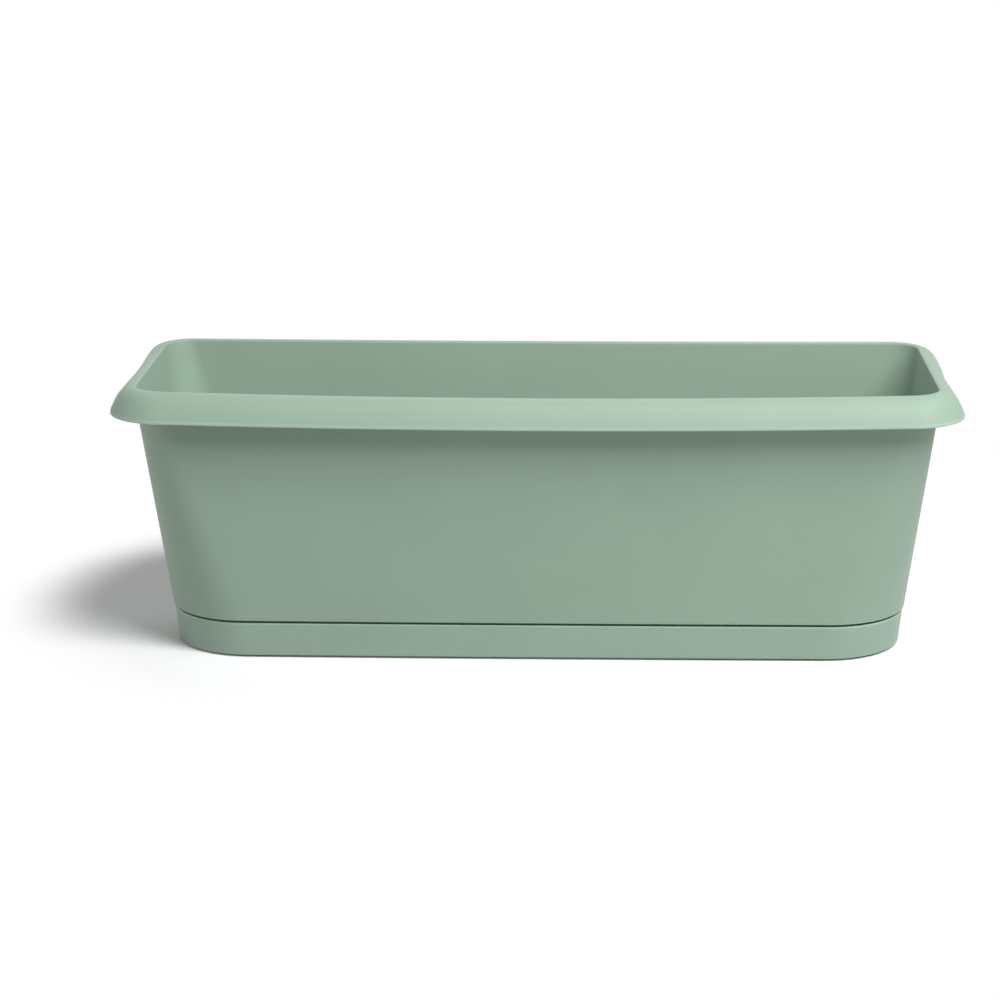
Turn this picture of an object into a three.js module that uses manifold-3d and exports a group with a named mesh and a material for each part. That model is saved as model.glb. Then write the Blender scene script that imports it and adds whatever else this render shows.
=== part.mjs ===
// A long plastic planting trough with a rolled rim, nested in a flush drip tray.
// Millimetres, +Z up, origin on the floor under the middle of the trough, length along X.
import * as THREE from 'three';
import Module from 'manifold-3d';
import { mergeVertices } from 'three/addons/utils/BufferGeometryUtils.js';

const wasm = await Module();
wasm.setup();

// Overall size, measured over the lip of the rim
const LENGTH = 600; // near the corners, where the short ends stand out most
const DEPTH = 230; // at mid-length, where the long sides bow out most
const HEIGHT = 200; // crest of the rim at its ends

// Rolled rim: the crest is the inner edge, and the skin rolls out and down from it
const RIM_REACH = 17.1; // from the crest out to the lip
const RIM_DROP = 17.9; // from the crest down to where the lip's edge starts to round
const RIM_CURVE = 2.5; // exponent of the roll: 1 is a straight slope, more is flatter on top
const RIM_SKIN = 2.2;
const RIM_ROOT = 3; // leg of the chamfer under the rim, where it leaves the wall
const RIM_BOW = 7; // outward bow of the long sides
const RIM_SAG = 2.3; // dip of the long sides at mid-length
const RIM_WAIST = 2.3; // how far the lip draws in at the middle of the short ends
const RIM_CORNER = 21; // plan radius of the crest
const CREST_ROUND = 1.5; // radius of the crest's inner edge

// Tapered walls
const WALL = 2.6;
const WALL_DRAFT = THREE.MathUtils.degToRad(5.45);

// Seam between the trough and the tray
const SEAM_HEIGHT = 27.4;
const SEAM_GAP = 1.4;
const SEAM_STEP = 0.7; // how far the tray's wall stands in from the trough's
const SEAM_CORNER = 58; // plan radius of the wall there
const SEAM_BOW = 1.6; // outward bow of the long sides there
const EDGE_ROUND = 0.6; // radius of the edges that face each other across the seam

// Floor of the trough, with its feet and the drain holes between them
const FLOOR = 2.8;
const FLOOR_ROUND = 8; // radius inside, between floor and wall
const PLINTH_ROUND = 3; // radius outside, under the recessed plinth
const FOOT_HEIGHT = 9; // how far the feet hold the floor above the tray
const FOOT_SPAN = 26; // of each cross-shaped foot
const FOOT_WEB = 3;
const FOOT_MARGIN = 21; // from the outer feet to the plinth's flank
const FOOT_COLUMNS = 4;
const DRAIN_DIAMETER = 11;

// Drip tray
const TRAY_WALL = 2.2;
const TRAY_ROUND = 6; // radius inside, between floor and wall
const BASE_ROUND = 3; // radius of the bottom edge
const BASE_RING = 14; // width of the flat ring that the tray stands on
const BASE_RISE = 1.2; // how far the panel inside the ring is raised
const RIB_PROUD = 1.1; // of the locating ribs inside the tray's wall
const RIB_WIDTH = 4;
const RIB_STOP = 5; // from the top of a rib to the top of the tray

// Clearances
const FIT_GAP = 0.3; // between the plinth and the locating ribs
const SEAT_GAP = 0.05; // between the feet and the tray's floor

// Facets
const CORNER_STEPS = 8;
const SIDE_STEPS = 14;
const END_STEPS = 8;
const ROUND_STEPS = 3;
const ROLL_STEPS = 8;
const DRAIN_SIDES = 20;

// Most of its side that a rounded corner or edge may take up
const CORNER_SHARE = 0.9;
const EDGE_SHARE = 0.4;

const plastic = new THREE.MeshStandardMaterial({ color: 0x93a896, roughness: 0.55, metalness: 0 });

// Outlines in plan: a rounded rectangle whose long sides bow out and sag towards mid-length, and whose
// short ends may draw in to a waist between the corners

const crest = {
  halfLength: LENGTH / 2 - RIM_REACH,
  halfDepth: DEPTH / 2 - RIM_BOW - RIM_REACH,
  corner: RIM_CORNER,
  bow: RIM_BOW,
  sag: RIM_SAG,
  waist: 0,
};

// The outline moved out all round by a distance, or in by a negative one
function grow(outline, by) {
  return {
    ...outline,
    halfLength: outline.halfLength + by,
    halfDepth: outline.halfDepth + by,
    corner: outline.corner + by,
  };
}

// The outer wall at a height. One draft runs from the rim to the floor. From the seam up, the corners
// tighten and the sides bow more towards the rim. Below the seam they stay as they are there.
function outerWall(z) {
  const top = grow(crest, WALL - CREST_ROUND);
  const rise = Math.max(0, (z - SEAM_HEIGHT) / (HEIGHT - SEAM_HEIGHT));
  const inset = (HEIGHT - z) * Math.tan(WALL_DRAFT);
  return {
    halfLength: top.halfLength - inset,
    halfDepth: top.halfDepth - inset,
    corner: THREE.MathUtils.lerp(SEAM_CORNER, top.corner, rise),
    bow: THREE.MathUtils.lerp(SEAM_BOW, top.bow, rise),
    sag: THREE.MathUtils.lerp(0, top.sag, rise),
    waist: top.waist,
  };
}

// How near a place along the length is to the middle: 1 there, 0 at the ends
function nearMiddle(outline, x) {
  return 1 - (x / outline.halfLength) ** 2;
}

// How far a long side stands from the middle line at a place along the length
function sideReach(outline, x) {
  return outline.halfDepth + outline.bow * nearMiddle(outline, x);
}

// One closed loop of points, anticlockwise from above, starting at the front right corner
function ring(outline, z) {
  const { halfLength, halfDepth, sag, waist } = outline;
  const corner = Math.min(outline.corner, CORNER_SHARE * halfDepth, CORNER_SHARE * halfLength);
  const straight = halfDepth - corner;
  const quarters = [[1, -1], [1, 1], [-1, 1], [-1, -1]];
  const arcs = quarters.map(([sideX, sideY], quarter) => {
    const centreX = sideX * (halfLength - corner);
    const centreY = sideY * straight;
    const start = (quarter - 1) * Math.PI / 2;
    const arc = new THREE.EllipseCurve(centreX, centreY, corner, corner, start, start + Math.PI / 2);
    return arc.getPoints(CORNER_STEPS);
  });
  const plan = arcs.flatMap((arc, quarter) => {
    const next = arcs[(quarter + 1) % arcs.length];
    const steps = quarter % 2 ? SIDE_STEPS : END_STEPS;
    const side = new THREE.LineCurve(arc.at(-1), next[0]).getPoints(steps);
    return [...arc, ...side.slice(1, -1)];
  });
  return plan.map(({ x, y }) => {
    const nearMidEnd = Math.max(0, 1 - (y / straight) ** 2) ** 2;
    const drawn = x * (1 - waist * nearMidEnd / halfLength);
    const bowed = y * sideReach(outline, x) / halfDepth;
    return new THREE.Vector3(drawn, bowed, z - sag * nearMiddle(outline, x));
  });
}

// The loops of a quarter round, from a level face to a flank that is given as an outline for each height.
// The level face lies inside the flank where out is -1 and outside it where out is 1, and the flank runs
// up from it where up is 1 and down where up is -1.
function roundedEdge(flank, level, radius, out, up) {
  return Array.from({ length: ROUND_STEPS + 1 }, (_, step) => {
    const angle = step / ROUND_STEPS * Math.PI / 2;
    const z = level + up * radius * (1 - Math.cos(angle));
    return ring(grow(flank(z), out * radius * (1 - Math.sin(angle))), z);
  });
}

// Bodies

// Joins a run of loops into one closed body. The run starts on the underside, climbs the outside and
// ends on the face that looks up.
function loft(loops) {
  const count = loops[0].length;
  const points = loops.flat();
  const index = [];
  for (let level = 0; level + 1 < loops.length; level += 1) {
    for (let i = 0; i < count; i += 1) {
      const low = level * count + i;
      const lowNext = level * count + (i + 1) % count;
      index.push(low, lowNext, lowNext + count, low, lowNext + count, low + count);
    }
  }
  const middle = (loop) => loop.reduce((sum, p) => sum.add(p), new THREE.Vector3()).divideScalar(count);
  const last = points.length - count;
  const under = points.push(middle(loops[0])) - 1;
  const over = points.push(middle(loops.at(-1))) - 1;
  for (let i = 0; i < count; i += 1) {
    const next = (i + 1) % count;
    index.push(under, next, i, over, last + i, last + next);
  }
  return new THREE.BufferGeometry().setFromPoints(points).setIndex(index);
}

function solid(geometry) {
  const bare = geometry.clone();
  bare.deleteAttribute('normal');
  bare.deleteAttribute('uv');
  const merged = mergeVertices(bare);
  const vertProperties = new Float32Array(merged.attributes.position.array);
  const triVerts = new Uint32Array(merged.index.array);
  return new wasm.Manifold(new wasm.Mesh({ numProp: 3, vertProperties, triVerts }));
}

function named(name, body, material) {
  const { vertProperties, triVerts } = body.getMesh();
  const geometry = new THREE.BufferGeometry();
  geometry.setAttribute('position', new THREE.BufferAttribute(vertProperties, 3));
  geometry.setIndex(new THREE.BufferAttribute(triVerts, 1));
  geometry.computeVertexNormals();
  const piece = new THREE.Mesh(geometry, material);
  piece.name = name;
  return piece;
}

// Heights, flanks and places that the two pieces share

const trayFloor = BASE_RISE + TRAY_WALL;
const trayTop = SEAM_HEIGHT - SEAM_GAP / 2;
const shoulder = SEAM_HEIGHT + SEAM_GAP / 2;
const floorUnder = trayFloor + SEAT_GAP + FOOT_HEIGHT;
const floorTop = floorUnder + FLOOR;

const plinthInset = SEAM_STEP + TRAY_WALL + RIB_PROUD + FIT_GAP;
const inside = (z) => grow(outerWall(z), -WALL);
const plinth = (z) => grow(outerWall(z), -plinthInset);
const plinthInside = (z) => grow(plinth(z), -WALL);
const trayOutside = (z) => grow(outerWall(z), -SEAM_STEP);
const trayInside = (z) => grow(trayOutside(z), -TRAY_WALL);

const footEdge = FOOT_MARGIN + FOOT_SPAN / 2;
const footRow = plinth(floorUnder).halfDepth - footEdge;
const lastColumn = plinth(floorUnder).halfLength - footEdge;
const footPitch = 2 * lastColumn / (FOOT_COLUMNS - 1);
const footColumns = Array.from({ length: FOOT_COLUMNS }, (_, i) => i * footPitch - lastColumn);
const betweenFeet = footColumns.slice(1).map((x) => x - footPitch / 2);

// The roll of the rim in section, outwards and up from the crest: a point on its skin, and the way inwards
function roll(share) {
  const slope = RIM_DROP * RIM_CURVE * share ** (RIM_CURVE - 1);
  return {
    point: new THREE.Vector2(RIM_REACH * share, -RIM_DROP * share ** RIM_CURVE),
    inwards: new THREE.Vector2(-slope, -RIM_REACH).normalize(),
  };
}

// The rim's loops from its root out along the underside, round the lip and back over the top to the crest
function rimLoops() {
  const rolls = Array.from({ length: ROLL_STEPS + 1 }, (_, step) => roll(step / ROLL_STEPS));
  const underside = rolls
    .map(({ point, inwards }) => point.clone().addScaledVector(inwards, RIM_SKIN))
    .filter(({ x }) => x > WALL - CREST_ROUND + RIM_ROOT);
  const lip = rolls.at(-1);
  const lipCentre = lip.point.clone().addScaledVector(lip.inwards, RIM_SKIN / 2);
  const lipSteps = 2 * ROUND_STEPS;
  const lipRound = Array.from({ length: lipSteps - 1 }, (_, step) => {
    const spoke = lip.inwards.clone().multiplyScalar(RIM_SKIN / 2);
    return spoke.rotateAround(new THREE.Vector2(), (step + 1) / lipSteps * Math.PI).add(lipCentre);
  });
  const skin = rolls.map(({ point }) => point).reverse();
  return [...underside, ...lipRound, ...skin].map(({ x, y }) => {
    const outline = { ...grow(crest, x), waist: RIM_WAIST * x / RIM_REACH };
    return ring(outline, HEIGHT + y);
  });
}

function troughShell() {
  const rimRoot = HEIGHT - RIM_SKIN - RIM_ROOT;
  const ledge = shoulder + WALL;
  const ledgeTop = ledge + plinthInset;
  return loft([
    ...roundedEdge(plinth, floorUnder, PLINTH_ROUND, -1, 1),
    ring(plinth(shoulder), shoulder),
    ...roundedEdge(outerWall, shoulder, EDGE_ROUND, -1, 1),
    ring(outerWall(rimRoot), rimRoot),
    ...rimLoops(),
    ...roundedEdge(inside, HEIGHT, CREST_ROUND, 1, -1).slice(1),
    ring(inside(ledgeTop), ledgeTop),
    ring(plinthInside(ledge), ledge),
    ...roundedEdge(plinthInside, floorTop, FLOOR_ROUND, -1, 1).reverse(),
  ]);
}

// A cross of two webs, from the tray's floor up into the trough's floor
function foot(x, y) {
  const reach = FOOT_SPAN / 2;
  const web = FOOT_WEB / 2;
  const arm = [[reach, -web], [reach, web], [web, web]];
  const cross = [0, 1, 2, 3].flatMap((quarter) => arm.map(([along, across]) => (
    new THREE.Vector2(along, across).rotateAround(new THREE.Vector2(), quarter * Math.PI / 2))));
  const depth = FOOT_HEIGHT + FLOOR / 2;
  const body = new THREE.ExtrudeGeometry(new THREE.Shape(cross), { depth, bevelEnabled: false });
  return body.translate(x, y, trayFloor + SEAT_GAP);
}

// What a drain hole takes out of the trough's floor
function drain(x, y) {
  const radius = DRAIN_DIAMETER / 2;
  const body = new THREE.CylinderGeometry(radius, radius, 2 * FLOOR, DRAIN_SIDES);
  return body.rotateX(Math.PI / 2).translate(x, y, floorUnder + FLOOR / 2);
}

function trough() {
  const rows = [-footRow, footRow];
  const feet = rows.flatMap((y) => footColumns.map((x) => foot(x, y)));
  const drains = rows.flatMap((y) => betweenFeet.map((x) => drain(x, y)));
  let body = solid(troughShell());
  for (const shape of feet) {
    body = body.add(solid(shape));
  }
  for (const shape of drains) {
    body = body.subtract(solid(shape));
  }
  return named('trough', body, plastic);
}

function trayShell() {
  const edge = Math.min(EDGE_ROUND, EDGE_SHARE * TRAY_WALL);
  const standing = grow(trayOutside(0), -BASE_ROUND - BASE_RING);
  return loft([
    ring(grow(standing, -BASE_RISE), BASE_RISE),
    ring(standing, 0),
    ...roundedEdge(trayOutside, 0, BASE_ROUND, -1, 1),
    ...roundedEdge(trayOutside, trayTop, edge, -1, -1).reverse(),
    ...roundedEdge(trayInside, trayTop, edge, 1, -1),
    ...roundedEdge(trayInside, trayFloor, TRAY_ROUND, -1, 1).reverse(),
  ]);
}

// A locating rib against the wall at the +X end. The wall's distance from the middle is given by height.
function rib(wallAt, across) {
  const top = trayTop - RIB_STOP;
  const levels = [[trayFloor - TRAY_WALL / 2, RIB_PROUD], [top, RIB_PROUD], [top + 2 * RIB_PROUD, -RIB_PROUD / 2]];
  return loft(levels.map(([z, proud]) => {
    const back = wallAt(z) + TRAY_WALL / 2;
    const front = wallAt(z) - proud;
    const half = RIB_WIDTH / 2;
    const plan = [[back, -half], [back, half], [front, half], [front, -half]];
    return plan.map(([x, y]) => new THREE.Vector3(x, across + y, z));
  }));
}

function tray() {
  const endRib = () => rib((z) => trayInside(z).halfLength, 0);
  const sideRib = (x) => rib((z) => sideReach(trayInside(z), x), x);
  const ribs = [0, Math.PI].flatMap((turn) => [
    endRib().rotateZ(turn),
    ...betweenFeet.map((x) => sideRib(x).rotateZ(turn + Math.PI / 2)),
  ]);
  const body = ribs.reduce((joined, shape) => joined.add(solid(shape)), solid(trayShell()));
  return named('drip_tray', body, plastic);
}

const planter = new THREE.Group();
planter.add(trough(), tray());

export default planter;
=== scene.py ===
"""A long moulded planting trough with a rolled rim, standing in a flush drip tray.

Laid out as an add-on: settings, one operator for each piece and one for the stage, and a sidebar panel.
Everything is in metres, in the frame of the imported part: +X along the length, +Y to the back, +Z up.
"""

import math
from typing import NamedTuple

import bpy
from bpy.props import (
    FloatProperty, FloatVectorProperty, IntProperty, PointerProperty)
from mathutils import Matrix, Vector


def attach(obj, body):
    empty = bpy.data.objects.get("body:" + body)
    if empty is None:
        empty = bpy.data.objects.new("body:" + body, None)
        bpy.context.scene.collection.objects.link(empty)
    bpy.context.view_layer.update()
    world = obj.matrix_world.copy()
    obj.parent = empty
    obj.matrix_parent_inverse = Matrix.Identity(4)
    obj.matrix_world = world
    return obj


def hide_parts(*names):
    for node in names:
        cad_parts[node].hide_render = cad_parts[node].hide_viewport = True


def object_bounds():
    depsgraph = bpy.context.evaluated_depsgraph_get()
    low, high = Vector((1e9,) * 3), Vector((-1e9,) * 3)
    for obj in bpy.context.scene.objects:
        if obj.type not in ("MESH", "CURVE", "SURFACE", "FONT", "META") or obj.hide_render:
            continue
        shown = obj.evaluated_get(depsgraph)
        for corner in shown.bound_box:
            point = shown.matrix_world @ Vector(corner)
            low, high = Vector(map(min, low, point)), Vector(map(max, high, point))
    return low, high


bl_info = {
    "name": "Trough Planter",
    "version": (1, 0, 0),
    "blender": (4, 5, 0),
    "location": "View3D > Sidebar > Planter",
    "description": "Builds a moulded planting trough, its drip tray and a studio stage",
    "category": "Object",
}

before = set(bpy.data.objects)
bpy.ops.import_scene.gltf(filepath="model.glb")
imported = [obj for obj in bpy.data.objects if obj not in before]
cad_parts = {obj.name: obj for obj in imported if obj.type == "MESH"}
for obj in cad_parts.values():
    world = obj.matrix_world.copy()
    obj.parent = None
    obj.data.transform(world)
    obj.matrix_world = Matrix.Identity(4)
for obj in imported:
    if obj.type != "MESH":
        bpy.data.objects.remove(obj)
CAD_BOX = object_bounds()
CAD_SIZE = CAD_BOX[1] - CAD_BOX[0]

MM = 0.001

# A pole closes a shell: an outline this small is welded to one point
POLE = 1e-6
WELD = 1e-5

# How finely the visible skins are divided
CORNER_STEPS = 22
SIDE_STEPS = 34
ROUND_STEPS = 6
CREST_STEPS = 15
ROLL_STEPS = 28
WALL_STEPS = 12
DRAIN_SIDES = 40

# A loop this far from each round keeps the flat beside it flat
HOLD = 1.2 * MM
# Edges that turn more than this are shaded sharp
SHARP = math.radians(35)
# Turns, averaged at a point, between which its edge mask goes from nothing to full
EDGE_FROM = math.radians(4)
EDGE_FULL = math.radians(7)

# A rib's tip draws back and rises by this many times what the rib stands proud
RIB_TIP_BACK = 1.5
RIB_TIP_RISE = 2

# The plastic: refractive index, sheen, sizes of its slow patches, and how far its roughness swings
PLASTIC_IOR = 1.5
SHEEN_ROUGHNESS = 0.4
DRIFT_SIZE = 90 * MM
PATCH_SIZE = 30 * MM
GLOSS_SWING = 0.16
RUB_POLISH = 0.12
# Share of the grain's height that is pebbles; the rest is noise of twice their size
PEBBLE_SHARE = 0.6
# How many patches of gloss lie across one of tone
GLOSS_PATCHES = 2.7
# Noise becomes the patches along rounded edges, where they are lighter as rubbed wear and as a painted
# highlight, by this gain and this base
PATCH_GAIN = 1.2
PATCH_BASE = 0.2

# Between these shares of the ground that keeps the shadow, the floor fades to plain white
SHADOW_FADE = (0.83, 1.05)
FLOOR_ROUGHNESS = 0.9
LAMPS = ("key", "fill", "side", "back")
SENSOR_WIDTH = 36

# Sockets of a Mix node that mixes colours, which share their names with those for other types
MIX_SHARE, MIX_START, MIX_END = 0, 6, 7
MIX_RESULT = 2

QUARTER_TURN = math.pi / 2


# Settings


def length(name, description, metres):
    return FloatProperty(
        name=name, description=description, default=metres, min=0, precision=4, unit="LENGTH")


def angle(name, description, degrees):
    return FloatProperty(
        name=name, description=description, default=math.radians(degrees), subtype="ANGLE")


def factor(name, description, default):
    return FloatProperty(
        name=name, description=description, default=default, min=0, max=1, subtype="FACTOR")


def level(name, description, default):
    return FloatProperty(name=name, description=description, default=default, min=0)


def colour(name, description, linear):
    return FloatVectorProperty(
        name=name, description=description, default=linear, min=0, max=1, size=3, subtype="COLOR")


class PlanterForm(bpy.types.PropertyGroup):
    """Sizes that the trough and its tray share"""

    length: length("Length", "Over the lip of the rim", round(CAD_SIZE.x, 3))
    depth: length("Depth", "Over the lip, at mid-length", round(CAD_SIZE.y, 3))
    height: length("Height", "To the crest of the rim at its ends", round(CAD_SIZE.z, 3))
    wall: length("Wall", "Thickness of the trough's wall", 2.6 * MM)
    draft: angle("Draft", "Lean of the walls from upright", 5.45)
    seam_height: length("Seam Height", "Middle of the seam above the ground", 27.4 * MM)
    seam_gap: length("Seam Gap", "Open height of the seam", 1.9 * MM)
    seam_step: length("Seam Step", "How far the tray's wall stands in from the trough's", 0.7 * MM)
    seam_corner: length("Seam Corner", "Plan radius of the wall at the seam", 58 * MM)
    seam_bow: length("Seam Bow", "Outward bow of the long sides at the seam", 1.6 * MM)
    edge_round: length(
        "Edge Round", "Radius of the trough's edge at the seam and of the tray's lower edge", 0.3 * MM)
    tray_wall: length("Tray Wall", "Thickness of the tray's wall", 2.2 * MM)
    base_rise: length("Base Rise", "Height of the tray's panel above its standing ring", 1.2 * MM)
    rib_proud: length("Rib Proud", "How far the tray's ribs stand off its wall", 1.1 * MM)
    fit_gap: length("Fit Gap", "Between the tray's ribs and the plinth", 0.3 * MM)
    seat_gap: length("Seat Gap", "Between the feet and the tray's floor", 0.05 * MM)
    foot_height: length("Foot Height", "How far the feet hold the floor above the tray", 9 * MM)
    foot_span: length("Foot Span", "Across each cross-shaped foot", 26 * MM)
    foot_margin: length("Foot Margin", "From the outer feet to the plinth's flank", 21 * MM)
    foot_columns: IntProperty(
        name="Foot Columns", description="Feet in each of the two rows", default=4, min=2)


class TroughSizes(bpy.types.PropertyGroup):
    """Sizes of the trough alone"""

    rim_reach: length("Rim Reach", "From the crest out to the lip", 17.1 * MM)
    rim_drop: length("Rim Drop", "From the crest down to the lip", 17.9 * MM)
    rim_curve: FloatProperty(
        name="Rim Curve", description="Exponent of the roll: more is flatter on top", default=2.5, min=1)
    rim_skin: length("Rim Skin", "Thickness of the rim", 2.2 * MM)
    lip_round: length("Lip Round", "Radius of the edges under the lip", 0.4 * MM)
    rim_root: length("Rim Root", "Leg of the fillet under the rim, at the wall", 3 * MM)
    rim_bow: length("Rim Bow", "Outward bow of the long sides at the rim", 7 * MM)
    rim_sag: length("Rim Sag", "Dip of the long sides at mid-length", 2.3 * MM)
    rim_waist: length("Rim Waist", "How far the lip draws in at the middle of the short ends", 2.3 * MM)
    rim_corner: length("Rim Corner", "Plan radius of the crest", 21 * MM)
    crest_round: length("Crest Round", "Radius of the crest's inner edge", 1.5 * MM)
    floor: length("Floor", "Thickness of the floor", 2.8 * MM)
    floor_round: length("Floor Round", "Radius inside, between floor and wall", 8 * MM)
    plinth_round: length("Plinth Round", "Radius under the plinth", 3 * MM)
    inner_round: length("Inner Round", "Radius inside the recess above the plinth", 0.6 * MM)
    ledge_ease: length("Ledge Ease", "Leg of the fillets on the ledge inside", 2 * MM)
    foot_web: length("Foot Web", "Thickness of a foot's webs", 3 * MM)
    drain_diameter: length("Drain Diameter", "Across each drain hole", 11 * MM)
    drain_flare: length("Drain Flare", "Countersink round each drain hole", 0.9 * MM)


class TraySizes(bpy.types.PropertyGroup):
    """Sizes of the drip tray alone"""

    floor_round: length("Floor Round", "Radius inside, between floor and wall", 6 * MM)
    base_gap: length("Base Gap", "Open height under the wall, round the standing ring", 1.9 * MM)
    base_inset: length("Base Inset", "From the wall in to the standing ring", 3 * MM)
    edge_crown: length("Edge Crown", "Radius outside the top edge", 1.0 * MM)
    edge_lead: length("Edge Lead", "Radius inside the top edge, which leads the trough in", 1.5 * MM)
    base_ring: length("Base Ring", "Width of the flat ring it stands on", 14 * MM)
    rib_width: length("Rib Width", "Along the wall", 4 * MM)
    rib_stop: length("Rib Stop", "From the top of a rib to the top of the tray", 5 * MM)


class PlasticFinish(bpy.types.PropertyGroup):
    """Colour and surface of the moulded plastic"""

    trough_colour: colour("Trough", "Colour of the trough", (0.295, 0.410, 0.320))
    tray_colour: colour("Tray", "Colour of the drip tray", (0.304, 0.417, 0.337))
    # Rounded edges take a lighter colour: partly rubbed wear, partly a painted highlight
    wear_highlight_colour: colour("Worn and Lit Edge", "Colour of rounded edges", (0.47, 0.63, 0.51))
    roughness: factor("Roughness", "Of the bare moulded face", 0.58)
    sheen: factor("Sheen", "Bloom of the moulded face at grazing angles", 0.1)
    drift: factor("Drift", "Unevenness of the pigment", 0.06)
    wear_and_highlight: factor("Wear and Highlight", "How far edges take the rubbed colour", 0.6)
    grain_size: length("Grain Size", "Of the moulded texture", 0.7 * MM)
    grain_depth: length("Grain Depth", "Of the moulded texture", 0.02 * MM)


class StageSettings(bpy.types.PropertyGroup):
    """Camera, light and floor"""

    lens: FloatProperty(
        name="Lens", description=f"Focal length on a {SENSOR_WIDTH} mm sensor", default=100.8, min=1,
        subtype="DISTANCE_CAMERA")
    distance: length("Distance", "From the camera to the middle of the planter", 2.0556)
    azimuth: angle("Azimuth", "Camera to the right of straight ahead", 1.4046)
    elevation: angle("Elevation", "Camera above level", 14.797)
    aim_height: length("Aim Height", "Height that the camera looks at", 99.14 * MM)
    shift: FloatProperty(
        name="Shift", description="Sideways shift of the frame", default=-0.03862, precision=5)
    key_azimuth: angle("Key Azimuth", "Key light to the right of straight ahead", 40)
    key_elevation: angle("Key Elevation", "Key light above level", 60)
    key_distance: length("Key Distance", "From the key light to the planter", 3.0)
    key_size: length("Key Size", "Diameter of the key light", 0.87)
    key_level: level("Key Level", "What a white face square to the key light sends back", 0.22)
    fill_azimuth: angle("Fill Azimuth", "Fill light to the right of straight ahead", 40)
    fill_elevation: angle("Fill Elevation", "Fill light above level", 45)
    fill_distance: length("Fill Distance", "From the fill light to the planter", 2.0)
    fill_size: length("Fill Size", "Diameter of the fill light", 1.2)
    fill_level: level("Fill Level", "What a white face square to the fill light sends back", 0.91)
    side_azimuth: angle("Side Azimuth", "Side light to the right of straight ahead", -85)
    side_elevation: angle("Side Elevation", "Side light above level", 8)
    side_distance: length("Side Distance", "From the side light to the planter", 2.5)
    side_size: length("Side Size", "Diameter of the side light", 0.6)
    side_level: level("Side Level", "What a white face square to the side light sends back", 0.14)
    back_azimuth: angle("Back Azimuth", "Back light to the right of straight ahead", 180)
    back_elevation: angle("Back Elevation", "Back light above level", 50)
    back_distance: length("Back Distance", "From the back light to the planter", 2.0)
    back_size: length("Back Size", "Diameter of the back light", 1.2)
    back_level: level("Back Level", "What a white face square to the back light sends back", 0.15)
    sky_level: level("Sky Level", "Even light from all round", 0.16)
    floor_colour: colour("Floor", "Colour of the floor", (1.0, 1.0, 1.0))
    floor_bounce: colour(
        "Floor Bounce", "Colour of the floor for the light that it sends back", (0.6, 0.6, 0.6))
    floor_span: length("Floor Span", "Width of the floor", 60)
    shadow_length: length("Shadow Length", "Half of the length that keeps the planter's shadow", 0.40)
    shadow_depth: length("Shadow Depth", "Half of the depth that keeps the planter's shadow", 0.31)
    shadow_back: length("Shadow Back", "From the planter back to the middle of that ground", 0.07)
    shadow_lift: factor("Shadow Lift", "How pale the floor stays in the planter's shadow", 0.04)


# Plan outlines and sections


class Station(NamedTuple):
    """One level of a moulded wall: its outline in plan, and its height"""

    half_length: float
    half_depth: float
    corner: float
    bow: float
    sag: float
    waist: float
    z: float

    def out(self, by):
        return self._replace(
            half_length=self.half_length + by,
            half_depth=self.half_depth + by,
            corner=self.corner + by)


def mix(start, end, share):
    return start + (end - start) * share


def between(start, end, share):
    return Station(*(mix(a, b, share) for a, b in zip(start, end)))


def run(start, end, steps):
    """Stations after the start, up to and with the end"""
    return [between(start, end, (step + 1) / steps) for step in range(steps)]


def eased(start, corner, end):
    """A fillet from start to end that stays inside their corner"""
    shares = [step / ROUND_STEPS for step in range(ROUND_STEPS + 1)]
    return [between(between(start, corner, s), between(corner, end, s), s) for s in shares]


def pole(z):
    return Station(POLE, POLE, POLE, 0, 0, 0, z)


def rounded_edge(flank, face_z, radius, out, up, steps=ROUND_STEPS):
    """A quarter round from a level face to a flank that is given as a station for each height.

    The level face lies inside the flank where out is -1 and outside it where out is 1. The flank runs
    up from the level face where up is 1 and down where up is -1.
    """
    stations = []
    for step in range(steps + 1):
        turn = step / steps * QUARTER_TURN
        z = face_z + up * radius * (1 - math.cos(turn))
        stations.append(flank(z).out(out * radius * (1 - math.sin(turn))))
    return stations


class Outlines:
    """The outlines, levels and places that the trough and the tray share"""

    def __init__(self, form, trough):
        self.form = form
        self.crest = Station(
            form.length / 2 - trough.rim_reach,
            form.depth / 2 - trough.rim_bow - trough.rim_reach,
            trough.rim_corner, trough.rim_bow, trough.rim_sag, 0, form.height)
        self.wall_top = self.crest.out(form.wall - trough.crest_round)
        self.tray_floor = form.base_rise + form.tray_wall
        self.tray_top = form.seam_height - form.seam_gap / 2
        self.shoulder = form.seam_height + form.seam_gap / 2
        self.floor_under = self.tray_floor + form.seat_gap + form.foot_height
        self.floor_top = self.floor_under + trough.floor
        self.plinth_inset = form.seam_step + form.tray_wall + form.rib_proud + form.fit_gap
        flank = self.plinth(self.floor_under)
        foot_edge = form.foot_margin + form.foot_span / 2
        self.foot_row = flank.half_depth - foot_edge
        self.last_column = flank.half_length - foot_edge
        self.foot_pitch = 2 * self.last_column / (form.foot_columns - 1)

    def outer_wall(self, z):
        form = self.form
        top = self.wall_top
        rise = max(0, (z - form.seam_height) / (form.height - form.seam_height))
        inset = (form.height - z) * math.tan(form.draft)
        return Station(
            top.half_length - inset,
            top.half_depth - inset,
            mix(form.seam_corner, top.corner, rise),
            mix(form.seam_bow, top.bow, rise),
            mix(0, top.sag, rise),
            0,
            z)

    def inside(self, z):
        return self.outer_wall(z).out(-self.form.wall)

    def plinth(self, z):
        return self.outer_wall(z).out(-self.plinth_inset)

    def plinth_inside(self, z):
        return self.plinth(z).out(-self.form.wall)

    def tray_outside(self, z):
        return self.outer_wall(z).out(-self.form.seam_step)

    def tray_inside(self, z):
        return self.tray_outside(z).out(-self.form.tray_wall)


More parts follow.
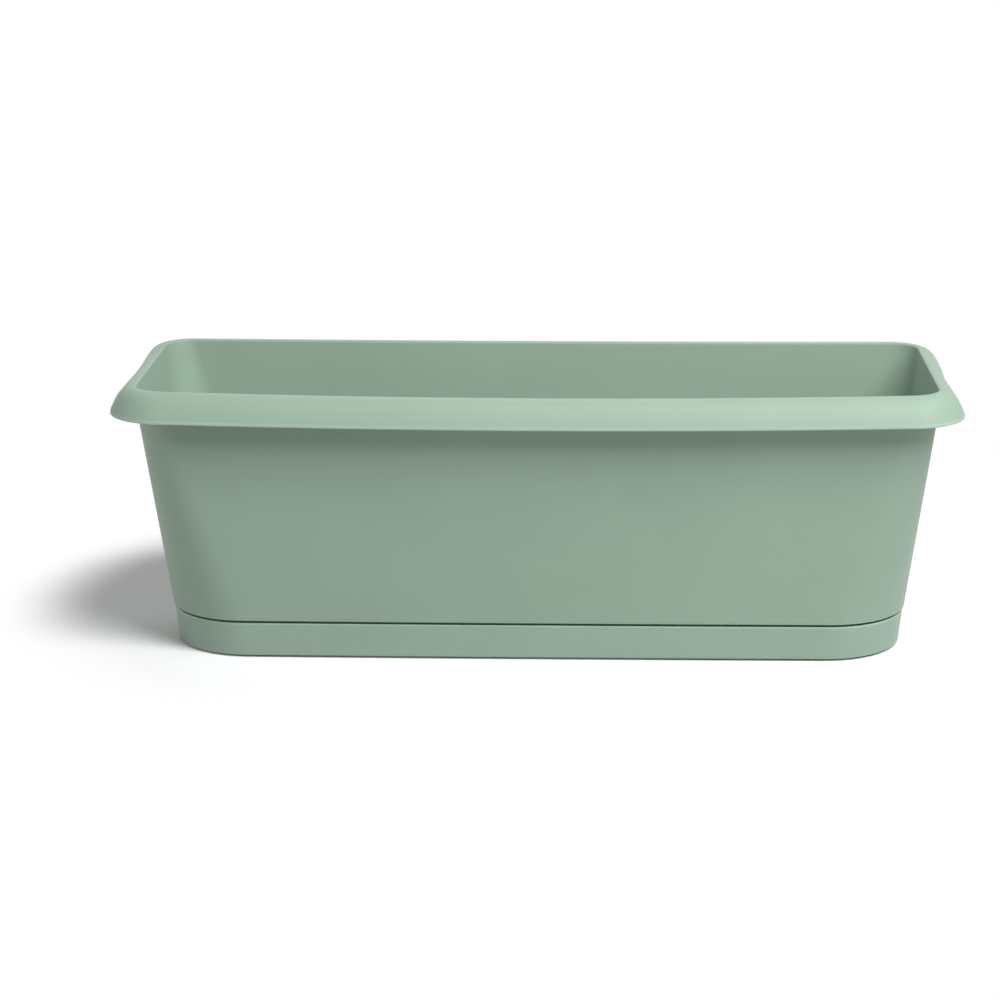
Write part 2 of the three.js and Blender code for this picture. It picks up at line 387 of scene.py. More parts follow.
def roll(trough, share):
    """A point on the rim's skin, out and up from the crest, and the way inwards from it"""
    point = Vector((trough.rim_reach * share, -trough.rim_drop * share ** trough.rim_curve))
    slope = trough.rim_drop * trough.rim_curve * share ** (trough.rim_curve - 1)
    return point, Vector((-slope, -trough.rim_reach)).normalized()


def rim_section(outlines, trough):
    """From the wall's root out along the underside, round the lip and back over the top to the crest"""
    rolls = [roll(trough, step / ROLL_STEPS) for step in range(ROLL_STEPS + 1)]
    root_out = outlines.form.wall - trough.crest_round + trough.rim_root
    underside = [point + inwards * trough.rim_skin for point, inwards in rolls]
    underside = [point for point in underside if point.x > root_out]
    lip, inwards = rolls[-1]
    radius = trough.lip_round
    lip_low = lip.y + (inwards.y - 1) * trough.rim_skin / 2
    lip_edge = []
    for centre, start in ((underside[-1].x + radius, math.pi), (lip.x - radius, math.pi + QUARTER_TURN)):
        for step in range(ROUND_STEPS + 1):
            turn = start + step / ROUND_STEPS * QUARTER_TURN
            lip_edge.append(Vector((
                centre + radius * math.cos(turn), lip_low + radius * (1 + math.sin(turn)))))
    skin = [point for point, _ in reversed(rolls)]
    path = underside + lip_edge + skin
    return [
        outlines.crest.out(x)._replace(
            z=outlines.form.height + y, waist=trough.rim_waist * x / trough.rim_reach)
        for x, y in path]


def trough_section(outlines, trough):
    """The trough's section from under the middle of its floor, over the rim, to the floor inside"""
    form = outlines.form
    plinth, wall, inside = outlines.plinth, outlines.outer_wall, outlines.inside
    foot_round = rounded_edge(plinth, outlines.floor_under, trough.plinth_round, -1, 1)
    recess = rounded_edge(plinth, outlines.shoulder, trough.inner_round, 1, -1)[::-1]
    shoulder = rounded_edge(wall, outlines.shoulder, form.edge_round, -1, 1)
    rim = rim_section(outlines, trough)
    root = wall(form.height - trough.rim_skin - trough.rim_root)
    root_corner = wall(form.height - trough.rim_skin)
    crest = rounded_edge(inside, form.height, trough.crest_round, 1, -1, CREST_STEPS)[1:]
    ledge_low = outlines.shoulder + form.wall
    ledge_high = ledge_low + outlines.plinth_inset
    ledge_out = inside(ledge_high)
    ledge_in = outlines.plinth_inside(ledge_low)
    slope = trough.ledge_ease / (outlines.plinth_inset * math.sqrt(2))
    floor_round = rounded_edge(outlines.plinth_inside, outlines.floor_top, trough.floor_round, -1, 1)[::-1]
    ledge = [
        *eased(inside(ledge_high + trough.ledge_ease), ledge_out, between(ledge_out, ledge_in, slope)),
        *eased(
            between(ledge_in, ledge_out, slope), ledge_in,
            outlines.plinth_inside(ledge_low - trough.ledge_ease))]
    return [
        pole(outlines.floor_under),
        foot_round[0].out(-HOLD),
        *foot_round,
        plinth(foot_round[-1].z + HOLD),
        plinth(recess[0].z - HOLD),
        *recess,
        *shoulder,
        wall(shoulder[-1].z + HOLD),
        *run(wall(shoulder[-1].z + HOLD), wall(root.z - HOLD), WALL_STEPS),
        *eased(root, root_corner, rim[0])[:-1],
        *rim,
        *crest,
        inside(crest[-1].z - HOLD),
        *run(inside(crest[-1].z - HOLD), inside(ledge[0].z + HOLD), WALL_STEPS),
        *ledge,
        outlines.plinth_inside(floor_round[0].z + HOLD),
        *floor_round,
        floor_round[-1].out(-HOLD),
        pole(outlines.floor_top),
    ]


def tray_section(outlines, tray):
    """The tray's section from under its middle, up the outside and over the edge to its floor"""
    form = outlines.form
    wall, inside = outlines.tray_outside, outlines.tray_inside
    ring_outer = wall(0).out(-tray.base_inset)
    ring_inner = ring_outer.out(-tray.base_ring)
    panel = ring_inner.out(-form.base_rise)._replace(z=form.base_rise)
    base = rounded_edge(wall, tray.base_gap, form.edge_round, -1, 1)
    edge_out = rounded_edge(wall, outlines.tray_top, tray.edge_crown, -1, -1)[::-1]
    edge_in = rounded_edge(inside, outlines.tray_top, tray.edge_lead, 1, -1)
    floor_round = rounded_edge(inside, outlines.tray_floor, tray.floor_round, -1, 1)[::-1]
    return [
        pole(form.base_rise),
        panel.out(-HOLD),
        *eased(panel, between(panel, ring_inner, 0.5), ring_inner),
        ring_inner.out(HOLD),
        ring_outer,
        ring_outer._replace(z=tray.base_gap),
        *base,
        wall(base[-1].z + HOLD),
        *run(wall(base[-1].z + HOLD), wall(edge_out[0].z - HOLD), WALL_STEPS // 2),
        *edge_out,
        *edge_in,
        inside(edge_in[-1].z - HOLD),
        inside(floor_round[0].z + HOLD),
        *floor_round,
        floor_round[-1].out(-HOLD),
        pole(outlines.tray_floor),
    ]


# Node trees


class Field:
    """A value in a node tree that formulas can be written with"""

    def __init__(self, tree, socket):
        self.tree = tree
        self.socket = socket

    def math(self, operation, *others):
        node = add_node(self.tree, "ShaderNodeMath", operation=operation)
        for socket, value in zip(node.inputs, (self, *others)):
            feed(self.tree, value, socket)
        return Field(self.tree, node.outputs[0])

    def __add__(self, other):
        return self.math("ADD", other)

    def __sub__(self, other):
        return self.math("SUBTRACT", other)

    def __mul__(self, other):
        return self.math("MULTIPLY", other)

    def __truediv__(self, other):
        return self.math("DIVIDE", other)

    def __mod__(self, other):
        return self.math("MODULO", other)

    def floor(self):
        return self.math("FLOOR")

    def cos(self):
        return self.math("COSINE")

    def sin(self):
        return self.math("SINE")

    def clamped(self):
        return self.math("MAXIMUM", 0).math("MINIMUM", 1)


def feed(tree, value, socket):
    if isinstance(value, Field):
        value = value.socket
    if isinstance(value, bpy.types.NodeSocket):
        tree.links.new(value, socket)
    else:
        socket.default_value = value


def add_node(tree, kind, inputs=None, **settings):
    node = tree.nodes.new(kind)
    for name, value in settings.items():
        setattr(node, name, value)
    for name, value in (inputs or {}).items():
        feed(tree, value, node.inputs[name])
    return node


def new_tree(name, kind, inputs, outputs):
    """A node group with named inputs and outputs, and its input and output nodes"""
    tree = bpy.data.node_groups.new(name, kind)
    for label, socket in inputs.items():
        tree.interface.new_socket(label, in_out="INPUT", socket_type=socket)
    for label, socket in outputs.items():
        tree.interface.new_socket(label, in_out="OUTPUT", socket_type=socket)
    return tree, tree.nodes.new("NodeGroupInput"), tree.nodes.new("NodeGroupOutput")


def combined(tree, x, y, z):
    return add_node(tree, "ShaderNodeCombineXYZ", {"X": x, "Y": y, "Z": z}).outputs[0]


def separated(tree, vector):
    node = add_node(tree, "ShaderNodeSeparateXYZ", {"Vector": vector})
    return [Field(tree, socket) for socket in node.outputs]


def joined(tree, *meshes):
    """One body out of several that meet"""
    node = add_node(tree, "GeometryNodeMeshBoolean", operation="UNION", solver="MANIFOLD")
    for mesh in meshes:
        tree.links.new(mesh, node.inputs["Mesh 2"])
    return node.outputs["Mesh"]


def cut(tree, mesh, *tools):
    node = add_node(
        tree, "GeometryNodeMeshBoolean", {"Mesh 1": mesh}, operation="DIFFERENCE", solver="MANIFOLD")
    for tool in tools:
        tree.links.new(tool, node.inputs["Mesh 2"])
    return node.outputs["Mesh"]


def repeated(tree, shape, points, turn=0.0):
    node = add_node(tree, "GeometryNodeInstanceOnPoints", {
        "Points": points, "Instance": shape, "Rotation": (0, 0, turn)})
    return add_node(
        tree, "GeometryNodeRealizeInstances", {"Geometry": node.outputs[0]}).outputs[0]


def placed(tree, mesh, move=(0, 0, 0), turn=0.0):
    return add_node(tree, "GeometryNodeTransform", {
        "Geometry": mesh, "Translation": move, "Rotation": (0, 0, turn)}).outputs[0]


def near(share):
    """1 in the middle, falling to 0 where the share of the way out is 1"""
    return share * share * -1 + 1


SHELL_INPUTS = {
    "Geometry": "NodeSocketGeometry",
    "Corner Steps": "NodeSocketInt",
    "Side Steps": "NodeSocketInt",
}
MESH_OUTPUT = {"Geometry": "NodeSocketGeometry"}


def shell_tree():
    """Sweeps a run of stations round their outlines into one closed skin, its rounded edges marked"""
    tree, given, result = new_tree("Moulded shell", "GeometryNodeTree", SHELL_INPUTS, MESH_OUTPUT)
    stations = given.outputs["Geometry"]
    corner_steps = Field(tree, given.outputs["Corner Steps"])
    side_steps = Field(tree, given.outputs["Side Steps"])
    size = add_node(tree, "GeometryNodeAttributeDomainSize", {"Geometry": stations})
    levels = Field(tree, size.outputs["Point Count"])
    quarter_steps = corner_steps + side_steps
    grid = add_node(tree, "GeometryNodeMeshGrid", {
        "Vertices X": quarter_steps * 4 + 1, "Vertices Y": levels})
    index = Field(tree, add_node(tree, "GeometryNodeInputIndex").outputs[0])

    def carried(name):
        return add_node(
            tree, "GeometryNodeInputNamedAttribute", {"Name": name}, data_type="FLOAT_VECTOR").outputs[0]

    def sampled(value):
        sample = add_node(tree, "GeometryNodeSampleIndex", data_type="FLOAT_VECTOR")
        feed(tree, stations, sample.inputs["Geometry"])
        feed(tree, value, sample.inputs["Value"])
        feed(tree, index % levels, sample.inputs["Index"])
        return separated(tree, sample.outputs[0])

    half_length, half_depth, corner = sampled(carried("plan"))
    bow, sag, waist = sampled(carried("sweep"))
    height = sampled(add_node(tree, "GeometryNodeInputPosition").outputs[0])[2]

    step = (index / levels).floor()
    quarter = (step / quarter_steps).floor()
    along = step - quarter * quarter_steps
    arc = (along / corner_steps).clamped()
    side = ((along - corner_steps) / side_steps).clamped()
    facing = (quarter + arc) * QUARTER_TURN - QUARTER_TURN
    bearing = quarter * QUARTER_TURN - QUARTER_TURN / 2
    corner_x = bearing.cos() * math.sqrt(2)
    corner_y = bearing.sin() * math.sqrt(2)
    share_x = corner_x - (corner_x + corner_y) * side
    share_y = corner_y - (corner_y - corner_x) * side
    straight = half_depth - corner
    x = share_x * (half_length - corner) + corner * facing.cos()
    y = share_y * straight + corner * facing.sin()
    near_middle = near(x / half_length)
    near_mid_end = near(y / straight).math("MAXIMUM", 0)
    drawn = x - x * waist * near_mid_end * near_mid_end / half_length
    bowed = y + y * bow * near_middle / half_depth
    point = combined(tree, drawn, bowed, height - sag * near_middle)
    skin = add_node(tree, "GeometryNodeSetPosition", {
        "Geometry": grid.outputs["Mesh"], "Position": point})
    welded = add_node(tree, "GeometryNodeMergeByDistance", {
        "Geometry": skin.outputs[0], "Distance": WELD})
    turn = add_node(tree, "GeometryNodeInputMeshEdgeAngle")
    rounded = add_node(tree, "ShaderNodeMapRange", {
        "Value": turn.outputs["Signed Angle"], "From Min": EDGE_FROM, "From Max": EDGE_FULL})
    marked = add_node(tree, "GeometryNodeStoreNamedAttribute", {
        "Geometry": welded.outputs[0], "Name": "edge", "Value": rounded.outputs["Result"]},
        data_type="FLOAT", domain="POINT")
    feed(tree, marked.outputs[0], result.inputs[0])
    return tree


def swept(tree, given, shell):
    node = add_node(tree, "GeometryNodeGroup", node_tree=shell)
    for name in SHELL_INPUTS:
        feed(tree, given.outputs[name], node.inputs[name])
    return node.outputs[0]


def finished(tree, mesh, material):
    """Shades the body smooth but for its hard edges, and sets its material"""
    turn = add_node(tree, "GeometryNodeInputMeshEdgeAngle")
    hard = add_node(tree, "FunctionNodeCompare", {
        "A": turn.outputs["Unsigned Angle"], "B": SHARP}, operation="GREATER_THAN")
    smooth = add_node(tree, "GeometryNodeSetShadeSmooth", {"Geometry": mesh, "Shade Smooth": True})
    creased = add_node(tree, "GeometryNodeSetShadeSmooth", domain="EDGE")
    feed(tree, smooth.outputs[0], creased.inputs["Geometry"])
    feed(tree, hard.outputs[0], creased.inputs["Selection"])
    feed(tree, False, creased.inputs["Shade Smooth"])
    whole = add_node(tree, "GeometryNodeRealizeInstances", {"Geometry": creased.outputs[0]})
    return add_node(tree, "GeometryNodeSetMaterial", {
        "Geometry": whole.outputs[0], "Material": material}).outputs[0]


def trough_tree(shell):
    """The trough: the swept shell with its feet joined on and its drain holes cut"""
    tree, given, result = new_tree("Planting trough", "GeometryNodeTree", {
        **SHELL_INPUTS,
        "Foot Columns": "NodeSocketInt",
        "Foot Pitch": "NodeSocketFloat",
        "Foot Row": "NodeSocketFloat",
        "Foot Span": "NodeSocketFloat",
        "Foot Web": "NodeSocketFloat",
        "Foot Bottom": "NodeSocketFloat",
        "Floor Under": "NodeSocketFloat",
        "Floor": "NodeSocketFloat",
        "Drain Diameter": "NodeSocketFloat",
        "Drain Flare": "NodeSocketFloat",
        "Material": "NodeSocketMaterial",
    }, MESH_OUTPUT)
    value = {socket.name: Field(tree, socket) for socket in given.outputs if socket.name}
    floor, under, bottom = value["Floor"], value["Floor Under"], value["Foot Bottom"]

    def places(columns, z):
        grid = add_node(tree, "GeometryNodeMeshGrid", {
            "Size X": value["Foot Pitch"] * (columns - 1), "Size Y": value["Foot Row"] * 2,
            "Vertices X": columns, "Vertices Y": 2})
        return placed(tree, grid.outputs["Mesh"], combined(tree, 0, 0, z))

    foot_tall = under + floor * 0.5 - bottom
    web = add_node(tree, "GeometryNodeMeshCube", {
        "Size": combined(tree, value["Foot Span"], value["Foot Web"], foot_tall)}).outputs["Mesh"]
    cross = joined(tree, web, placed(tree, web, turn=QUARTER_TURN))
    feet = repeated(tree, cross, places(value["Foot Columns"], bottom + foot_tall * 0.5))

    radius = value["Drain Diameter"] * 0.5
    flare = value["Drain Flare"]
    bore = add_node(tree, "GeometryNodeMeshCylinder", {
        "Vertices": DRAIN_SIDES, "Radius": radius, "Depth": floor * 2}).outputs["Mesh"]
    countersink = add_node(tree, "GeometryNodeMeshCone", {
        "Vertices": DRAIN_SIDES, "Radius Bottom": radius, "Radius Top": radius + flare * 2,
        "Depth": flare * 2}).outputs["Mesh"]
    columns = value["Foot Columns"] - 1
    bores = repeated(tree, bore, places(columns, under + floor * 0.5))
    countersinks = repeated(tree, countersink, places(columns, under + floor - flare))

    body = joined(tree, swept(tree, given, shell), feet)
    body = cut(tree, body, bores, countersinks)
    feed(tree, finished(tree, body, value["Material"]), result.inputs[0])
    return tree


def tray_tree(shell):
    """The drip tray: the swept shell with the locating ribs joined to its wall"""
    tree, given, result = new_tree("Drip tray", "GeometryNodeTree", {
        **SHELL_INPUTS,
        "Half Length": "NodeSocketFloat",
        "Half Depth": "NodeSocketFloat",
        "Bow": "NodeSocketFloat",
        "Lean": "NodeSocketFloat",
        "Ribs per Side": "NodeSocketInt",
        "Rib Pitch": "NodeSocketFloat",
        "Rib Width": "NodeSocketFloat",
        "Rib Proud": "NodeSocketFloat",
        "Rib Bottom": "NodeSocketFloat",
        "Rib Top": "NodeSocketFloat",
        "Wall": "NodeSocketFloat",
        "Material": "NodeSocketMaterial",
    }, MESH_OUTPUT)
    value = {socket.name: Field(tree, socket) for socket in given.outputs if socket.name}
    half_length, half_depth = value["Half Length"], value["Half Depth"]
    proud, bottom, top = value["Rib Proud"], value["Rib Bottom"], value["Rib Top"]

    block = add_node(tree, "GeometryNodeMeshCube", {
        "Size": combined(tree, 1, value["Rib Width"], 1), "Vertices Z": 3})
    across, along, up = separated(tree, add_node(tree, "GeometryNodeInputPosition").outputs[0])
    shaft = (up * 2 + 1).clamped()
    tip = (up * 2).clamped()
    z = bottom + (top - bottom) * shaft + proud * RIB_TIP_RISE * tip
    front = proud * -1 + proud * RIB_TIP_BACK * tip
    x = front + (value["Wall"] * 0.5 - front) * (across + 0.5) + z * value["Lean"]
    rib = add_node(tree, "GeometryNodeSetPosition", {
        "Geometry": block.outputs["Mesh"], "Position": combined(tree, x, along, z)}).outputs[0]

    count, pitch = value["Ribs per Side"], value["Rib Pitch"]
    start = (count - 1) * pitch * -0.5
    line = add_node(tree, "GeometryNodeMeshLine", {
        "Count": count, "Start Location": combined(tree, start, 0, 0),
        "Offset": combined(tree, pitch, 0, 0)})
    place_x = separated(tree, add_node(tree, "GeometryNodeInputPosition").outputs[0])[0]
    reach = half_depth + value["Bow"] * near(place_x / half_length)
    side = add_node(tree, "GeometryNodeSetPosition", {
        "Geometry": line.outputs["Mesh"], "Position": combined(tree, place_x, reach, 0)}).outputs[0]
    back = repeated(tree, rib, side, QUARTER_TURN)
    end = placed(tree, rib, combined(tree, half_length, 0, 0))
    body = joined(
        tree, swept(tree, given, shell), back, placed(tree, back, turn=math.pi),
        end, placed(tree, end, turn=math.pi))
    feed(tree, finished(tree, body, value["Material"]), result.inputs[0])
    return tree


def station_mesh(name, stations):
    """The stations as loose points that carry their outlines"""
    mesh = bpy.data.meshes.new(name)
    mesh.from_pydata([(0, 0, station.z) for station in stations], [], [])
    for label, rows in (("plan", [s[:3] for s in stations]), ("sweep", [s[3:6] for s in stations])):
        attribute = mesh.attributes.new(label, "FLOAT_VECTOR", "POINT")
        attribute.data.foreach_set("vector", [value for row in rows for value in row])
    return mesh


def grown(name, stations, tree, values):
    """Runs a tree on the stations, and returns an object that holds the result as a plain mesh"""
    source = bpy.data.objects.new(name + "_stations", station_mesh(name + "_stations", stations))
    bpy.context.scene.collection.objects.link(source)
    modifier = source.modifiers.new("Shape", "NODES")
    modifier.node_group = tree
    for item in tree.interface.items_tree:
        if item.in_out == "INPUT" and item.socket_type != "NodeSocketGeometry":
            modifier[item.identifier] = values[item.name]
    graph = bpy.context.evaluated_depsgraph_get()
    mesh = bpy.data.meshes.new_from_object(source.evaluated_get(graph), depsgraph=graph)
    mesh.name = name
    stations_mesh = source.data
    bpy.data.objects.remove(source)
    bpy.data.meshes.remove(stations_mesh)
    if not mesh.polygons:
        raise RuntimeError(f"{name}: its node tree made no faces")
    # Primitives bring an empty material slot along
    mesh.materials.clear()
    mesh.materials.append(values["Material"])
    piece = bpy.data.objects.new(name, mesh)
    bpy.context.scene.collection.objects.link(piece)
    return piece


def kept(name, build):
    """A node group by name, built the first time it is asked for"""
    return bpy.data.node_groups.get(name) or build()


# Finish


def grain_group():
    """Moulded texture: its height, and the slow drift of tone and gloss over a large face"""
    tree, given, result = new_tree("Moulded grain", "ShaderNodeTree", {
        "Grain Size": "NodeSocketFloat", "Drift Size": "NodeSocketFloat",
    }, {"Height": "NodeSocketFloat", "Tone": "NodeSocketFloat", "Gloss": "NodeSocketFloat"})
    place = add_node(tree, "ShaderNodeTexCoord").outputs["Object"]
    grain_scale = Field(tree, given.outputs["Grain Size"]).math("POWER", -1)
    drift_scale = Field(tree, given.outputs["Drift Size"]).math("POWER", -1)

    def noise(scale, detail, roughness):
        node = add_node(tree, "ShaderNodeTexNoise", {
            "Vector": place, "Scale": scale, "Detail": detail, "Roughness": roughness})
        return Field(tree, node.outputs[0])

    pebbles = add_node(tree, "ShaderNodeTexVoronoi", {"Vector": place, "Scale": grain_scale})
    fine = noise(grain_scale * 0.5, detail=2, roughness=0.5)
    height = Field(tree, pebbles.outputs["Distance"]) * PEBBLE_SHARE + fine * (1 - PEBBLE_SHARE)
    feed(tree, height, result.inputs["Height"])
    feed(tree, noise(drift_scale, detail=3, roughness=0.55), result.inputs["Tone"])
    feed(tree, noise(drift_scale * GLOSS_PATCHES, detail=4, roughness=0.6), result.inputs["Gloss"])
    return tree


def wear_highlight_group():
    """Where rounded edges are lighter, partly rubbed wear and partly a painted highlight: a mask that is
    patchy along them
    """
    tree, given, result = new_tree("Rubbed edge", "ShaderNodeTree", {
        "Patch Size": "NodeSocketFloat"}, {"Mask": "NodeSocketFloat"})
    place = add_node(tree, "ShaderNodeTexCoord").outputs["Object"]
    edge = Field(tree, add_node(tree, "ShaderNodeAttribute", attribute_name="edge").outputs["Fac"])
    scale = Field(tree, given.outputs["Patch Size"]).math("POWER", -1)
    patches = add_node(tree, "ShaderNodeTexNoise", {"Vector": place, "Scale": scale, "Detail": 3})
    mask = edge * (Field(tree, patches.outputs[0]) * PATCH_GAIN + PATCH_BASE).clamped()
    feed(tree, mask, result.inputs["Mask"])
    return tree


def blended(tree, share, start, end):
    node = add_node(tree, "ShaderNodeMix", data_type="RGBA")
    for index, value in ((MIX_SHARE, share), (MIX_START, start), (MIX_END, end)):
        feed(tree, value, node.inputs[index])
    return node.outputs[MIX_RESULT]


def shade(base, by):
    return (*(min(1.0, part * by) for part in base), 1.0)


def plastic(name, base, finish):
    """Moulded plastic in one through-dyed colour, with rounded edges lighter as rubbed wear and as a
    painted highlight
    """
    material = bpy.data.materials.new(name)
    material.use_nodes = True
    tree = material.node_tree
    shader = tree.nodes["Principled BSDF"]
    shader.inputs["IOR"].default_value = PLASTIC_IOR
    shader.inputs["Sheen Weight"].default_value = finish.sheen
    shader.inputs["Sheen Roughness"].default_value = SHEEN_ROUGHNESS
    grain = add_node(tree, "ShaderNodeGroup", node_tree=kept("Moulded grain", grain_group))
    grain.inputs["Grain Size"].default_value = finish.grain_size
    grain.inputs["Drift Size"].default_value = DRIFT_SIZE
    edge = add_node(tree, "ShaderNodeGroup", node_tree=kept("Rubbed edge", wear_highlight_group))
    edge.inputs["Patch Size"].default_value = PATCH_SIZE
    body = blended(
        tree, grain.outputs["Tone"], shade(base, 1 - finish.drift), shade(base, 1 + finish.drift))
    # Lighter rounded edges: partly rubbed wear, partly a painted highlight along them
    wear_highlight = Field(tree, edge.outputs["Mask"]) * finish.wear_and_highlight
    edge_tinted = blended(tree, wear_highlight, body, shade(finish.wear_highlight_colour, 1))
    feed(tree, edge_tinted, shader.inputs["Base Color"])
    gloss = Field(tree, grain.outputs["Gloss"]) * GLOSS_SWING + (finish.roughness - GLOSS_SWING / 2)
    feed(tree, gloss - wear_highlight * RUB_POLISH, shader.inputs["Roughness"])
    bump = add_node(tree, "ShaderNodeBump", {
        "Height": grain.outputs["Height"], "Distance": finish.grain_depth, "Strength": 1.0})
    feed(tree, bump.outputs["Normal"], shader.inputs["Normal"])
    return material


def as_piece(piece, node):
    """Seats a finished piece on the body of the node it stands for"""
    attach(piece, node)
    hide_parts(node)


# Operators


class PLANTER_OT_trough(bpy.types.Operator):
    """Builds the trough: shell, rolled rim, feet and drain holes in one moulding"""

    bl_idname = "planter.add_trough"
    bl_label = "Add Trough"

    def execute(self, context):
        form, trough = context.scene.planter_form, context.scene.planter_trough
        finish = context.scene.planter_finish
        outlines = Outlines(form, trough)
        tree = trough_tree(kept("Moulded shell", shell_tree))
        piece = grown("trough_moulding", trough_section(outlines, trough), tree, {
            "Corner Steps": CORNER_STEPS,
            "Side Steps": SIDE_STEPS,
            "Foot Columns": form.foot_columns,
            "Foot Pitch": outlines.foot_pitch,
            "Foot Row": outlines.foot_row,
            "Foot Span": form.foot_span,
            "Foot Web": trough.foot_web,
            "Foot Bottom": outlines.tray_floor + form.seat_gap,
            "Floor Under": outlines.floor_under,
            "Floor": trough.floor,
            "Drain Diameter": trough.drain_diameter,
            "Drain Flare": trough.drain_flare,
            "Material": plastic("sage_plastic_trough", finish.trough_colour, finish),
        })
        as_piece(piece, "trough")
        return {"FINISHED"}


class PLANTER_OT_tray(bpy.types.Operator):
    """Builds the drip tray with the ribs that locate the trough in it"""

    bl_idname = "planter.add_drip_tray"
    bl_label = "Add Drip Tray"

    def execute(self, context):
        form, tray = context.scene.planter_form, context.scene.planter_tray
        finish = context.scene.planter_finish
        outlines = Outlines(form, context.scene.planter_trough)
        inner = outlines.tray_inside(0)
        tree = tray_tree(kept("Moulded shell", shell_tree))
        piece = grown("drip_tray_moulding", tray_section(outlines, tray), tree, {
            "Corner Steps": CORNER_STEPS,
            "Side Steps": SIDE_STEPS,
            "Half Length": inner.half_length,
            "Half Depth": inner.half_depth,
            "Bow": inner.bow,
            "Lean": math.tan(form.draft),
            "Ribs per Side": form.foot_columns - 1,
            "Rib Pitch": outlines.foot_pitch,
            "Rib Width": tray.rib_width,
            "Rib Proud": form.rib_proud,
            "Rib Bottom": outlines.tray_floor - form.tray_wall / 2,
            "Rib Top": outlines.tray_top - tray.rib_stop,
            "Wall": form.tray_wall,
            "Material": plastic("sage_plastic_tray", finish.tray_colour, finish),
        })
        as_piece(piece, "drip_tray")
        return {"FINISHED"}


def seen_from(azimuth, elevation):
    """The way from the planter to something at these angles, right of straight ahead and above level"""
    return Vector((
        math.sin(azimuth) * math.cos(elevation),
        -math.cos(azimuth) * math.cos(elevation),
        math.sin(elevation)))


def plain_sight(tree):
    """1 for rays that show the background: from the camera, in gloss and through glass"""
    path = add_node(tree, "ShaderNodeLightPath")
    sight = Field(tree, path.outputs["Is Camera Ray"])
    for kind in ("Is Glossy Ray", "Is Transmission Ray"):
        sight = sight.math("MAXIMUM", path.outputs[kind])
    return sight


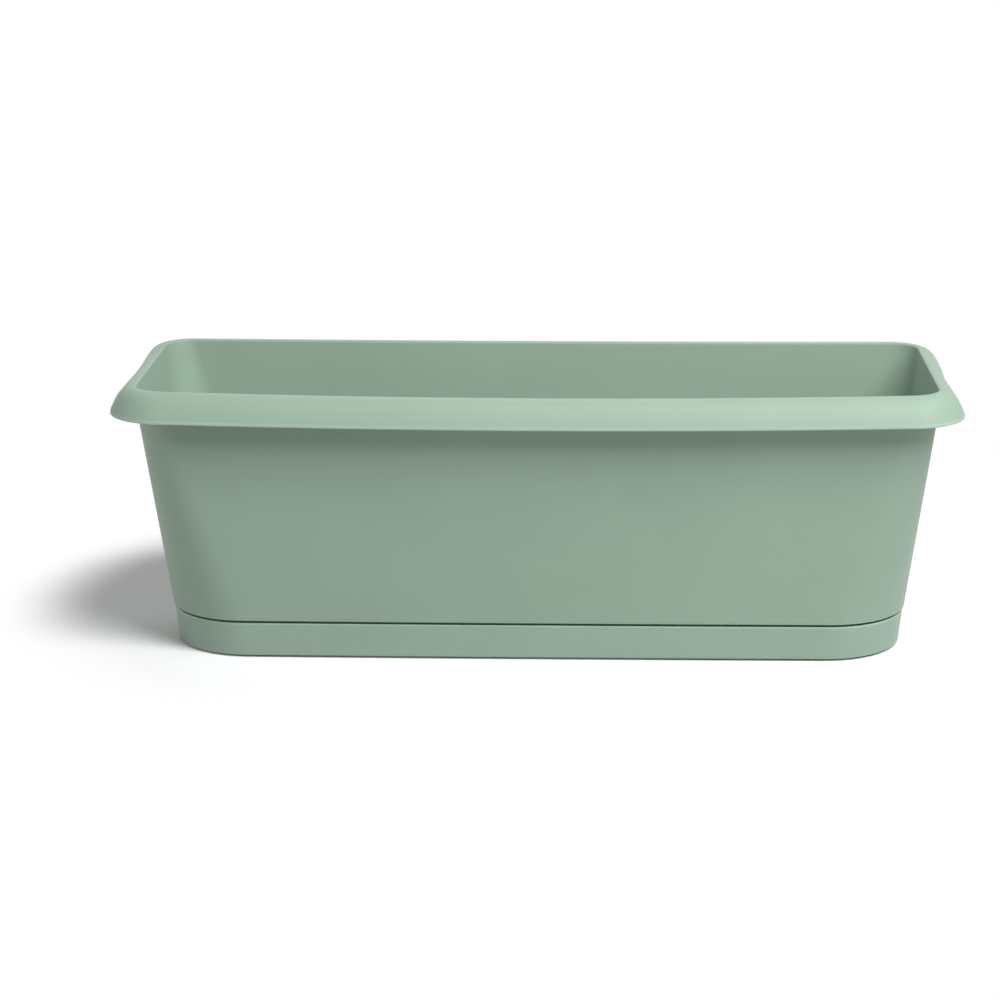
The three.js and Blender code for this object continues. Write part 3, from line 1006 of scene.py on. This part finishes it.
class PLANTER_OT_stage(bpy.types.Operator):
    """Sets up the floor, the light and the camera"""

    bl_idname = "planter.set_stage"
    bl_label = "Set Stage"

    def execute(self, context):
        stage = context.scene.planter_stage
        self.floor(context, stage)
        self.light(context, stage)
        self.camera(context, stage)
        context.scene.view_settings.view_transform = "Standard"
        return {"FINISHED"}

    def floor(self, context, stage):
        half = stage.floor_span / 2
        mesh = bpy.data.meshes.new("floor")
        mesh.from_pydata(
            [(-half, -half, 0), (half, -half, 0), (half, half, 0), (-half, half, 0)], [], [(0, 1, 2, 3)])
        material = bpy.data.materials.new("pale_floor")
        material.use_nodes = True
        # Left to traced rays, which know a glossy ray from the others
        material.cycles.emission_sampling = "NONE"
        tree = material.node_tree
        shader = tree.nodes["Principled BSDF"]
        shader.inputs["Roughness"].default_value = FLOOR_ROUGHNESS
        shader.inputs["Specular IOR Level"].default_value = 0
        shader.inputs["Emission Color"].default_value = (1, 1, 1, 1)
        place = add_node(tree, "ShaderNodeTexCoord").outputs["Object"]
        x, y, _ = separated(tree, place)
        spread = combined(tree, x / stage.shadow_length, (y - stage.shadow_back) / stage.shadow_depth, 0)
        reach = add_node(tree, "ShaderNodeVectorMath", {0: spread}, operation="LENGTH").outputs["Value"]
        away = Field(tree, add_node(tree, "ShaderNodeMapRange", {
            "Value": reach, "From Min": SHADOW_FADE[0], "From Max": SHADOW_FADE[1]},
            interpolation_type="SMOOTHSTEP").outputs["Result"])
        sight = plain_sight(tree)
        seen = blended(tree, away, (*stage.floor_colour, 1), (0, 0, 0, 1))
        base = blended(tree, sight, (*stage.floor_bounce, 1), seen)
        feed(tree, base, shader.inputs["Base Color"])
        # Painted light: for the camera the floor glows, plain white away from the planter and faintly
        # inside its shadow, which the glow makes paler
        glow = away * (1 - stage.shadow_lift) + stage.shadow_lift
        feed(tree, sight * glow, shader.inputs["Emission Strength"])
        mesh.materials.append(material)
        floor = bpy.data.objects.new("floor", mesh)
        context.scene.collection.objects.link(floor)

    def light(self, context, stage):
        world = bpy.data.worlds.new("studio")
        world.use_nodes = True
        # Left to traced rays, like the floor
        world.cycles.sampling_method = "NONE"
        tree = world.node_tree
        sight = plain_sight(tree)
        strength = sight + (sight * -1 + 1) * stage.sky_level
        feed(tree, strength, tree.nodes["Background"].inputs["Strength"])
        tree.nodes["Background"].inputs["Color"].default_value = (1, 1, 1, 1)
        context.scene.world = world
        for name in LAMPS:
            azimuth, elevation, distance, size, white = (
                getattr(stage, f"{name}_{part}")
                for part in ("azimuth", "elevation", "distance", "size", "level"))
            data = bpy.data.lights.new(name, "AREA")
            data.shape = "DISK"
            data.size = size
            data.energy = white * (math.pi * distance) ** 2
            way = seen_from(azimuth, elevation)
            lamp = bpy.data.objects.new(name, data)
            lamp.location = Vector((0, 0, stage.aim_height)) + way * distance
            lamp.rotation_euler = (-way).to_track_quat("-Z", "Y").to_euler()
            context.scene.collection.objects.link(lamp)

    def camera(self, context, stage):
        data = bpy.data.cameras.new("camera")
        data.lens = stage.lens
        data.sensor_width = SENSOR_WIDTH
        data.shift_x = stage.shift
        data.clip_end = 2 * stage.floor_span
        camera = bpy.data.objects.new("camera", data)
        back = seen_from(stage.azimuth, stage.elevation)
        camera.location = Vector((0, 0, stage.aim_height)) + back * stage.distance
        camera.rotation_euler = (-back).to_track_quat("-Z", "Y").to_euler()
        context.scene.collection.objects.link(camera)
        context.scene.camera = camera


class PLANTER_PT_panel(bpy.types.Panel):
    """Lists the planter's pieces and settings"""

    bl_idname = "PLANTER_PT_panel"
    bl_label = "Trough Planter"
    bl_space_type = "VIEW_3D"
    bl_region_type = "UI"
    bl_category = "Planter"

    def draw(self, context):
        for operator, groups in PANEL_ROWS:
            box = self.layout.box()
            box.operator(operator.bl_idname)
            for name in groups:
                group = getattr(context.scene, name)
                for label in group.__annotations__:
                    box.prop(group, label)


SETTINGS = {
    "planter_form": PlanterForm,
    "planter_trough": TroughSizes,
    "planter_tray": TraySizes,
    "planter_finish": PlasticFinish,
    "planter_stage": StageSettings,
}
PANEL_ROWS = (
    (PLANTER_OT_trough, ("planter_form", "planter_trough", "planter_finish")),
    (PLANTER_OT_tray, ("planter_tray",)),
    (PLANTER_OT_stage, ("planter_stage",)),
)
CLASSES = (*SETTINGS.values(), PLANTER_OT_trough, PLANTER_OT_tray, PLANTER_OT_stage, PLANTER_PT_panel)


def register():
    for cls in CLASSES:
        bpy.utils.register_class(cls)
    for name, group in SETTINGS.items():
        setattr(bpy.types.Scene, name, PointerProperty(type=group))


def unregister():
    for name in SETTINGS:
        delattr(bpy.types.Scene, name)
    for cls in reversed(CLASSES):
        bpy.utils.unregister_class(cls)


def main():
    register()
    bpy.ops.planter.add_trough()
    bpy.ops.planter.add_drip_tray()
    bpy.ops.planter.set_stage()


if __name__ == "__main__":
    main()
